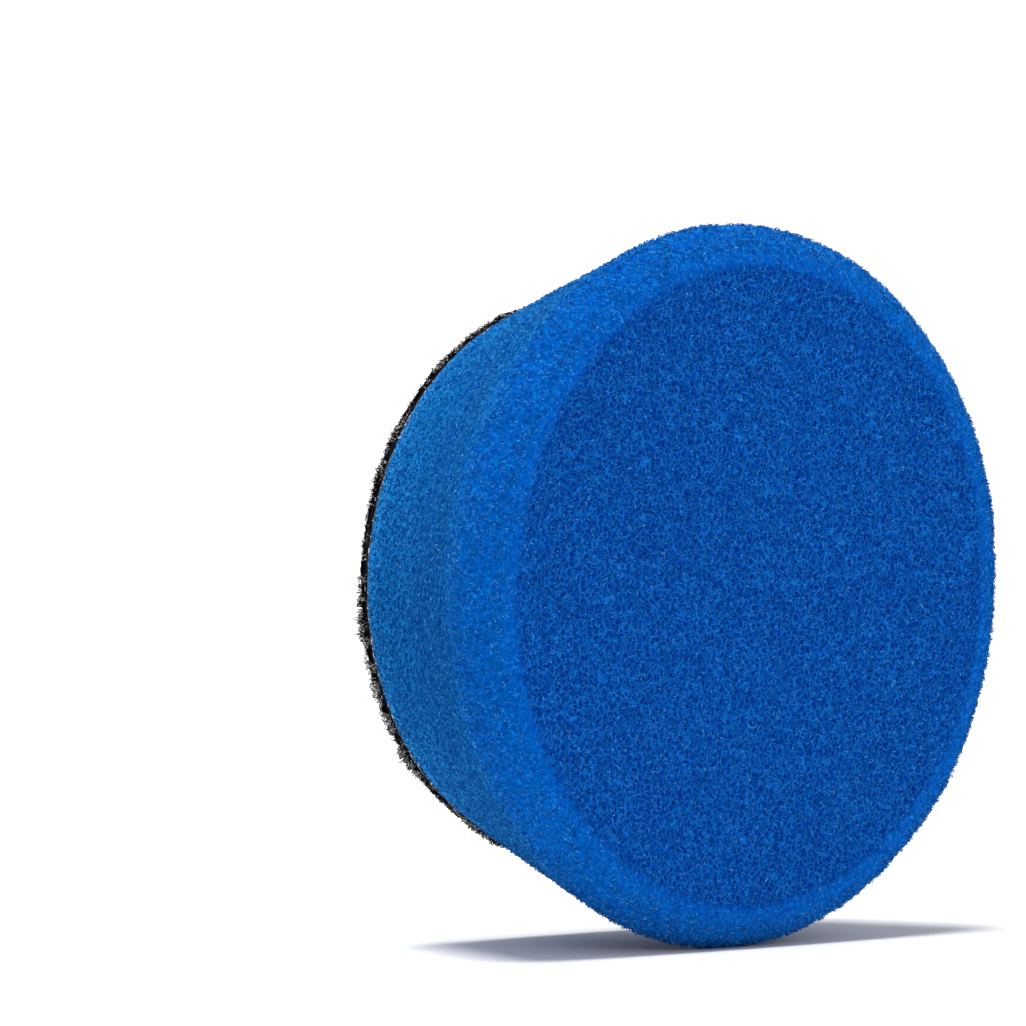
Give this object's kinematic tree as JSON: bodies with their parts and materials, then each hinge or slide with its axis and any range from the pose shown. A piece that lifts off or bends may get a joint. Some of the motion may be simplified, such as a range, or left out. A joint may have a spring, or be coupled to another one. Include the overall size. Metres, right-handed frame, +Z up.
{
  "type": "polishing pad",
  "caption": "Round foam polishing pad whose tapered wall widens from a flat hook-and-loop backing to a rounded rim and a flat working face, for a small hand-held car polisher.",
  "frame": {"origin": "centre of the loop backing's outer face, where the polisher's hook plate holds the pad", "axes": "+Y is the pad's axis of rotation, out of the loop face towards the polisher; the flat working face looks towards -Y; +Z is up, with the pad standing on its rim; +X is to the right as seen from the working face"},
  "size_m": [0.07, 0.027, 0.07],
  "materials": {
    "foam": "matte open-cell polyurethane foam, blue",
    "adhesive": "translucent hot-melt film with a dull shine",
    "loop_cloth": "black warp-knitted nylon ground",
    "loop_nap": "black napped nylon loops"
  },
  "bodies": {
    "root": {"foam_pad": "foam", "adhesive_film": "adhesive", "loop_ground_cloth": "loop_cloth", "loop_pile": "loop_nap"}
  },
  "joints": []
}
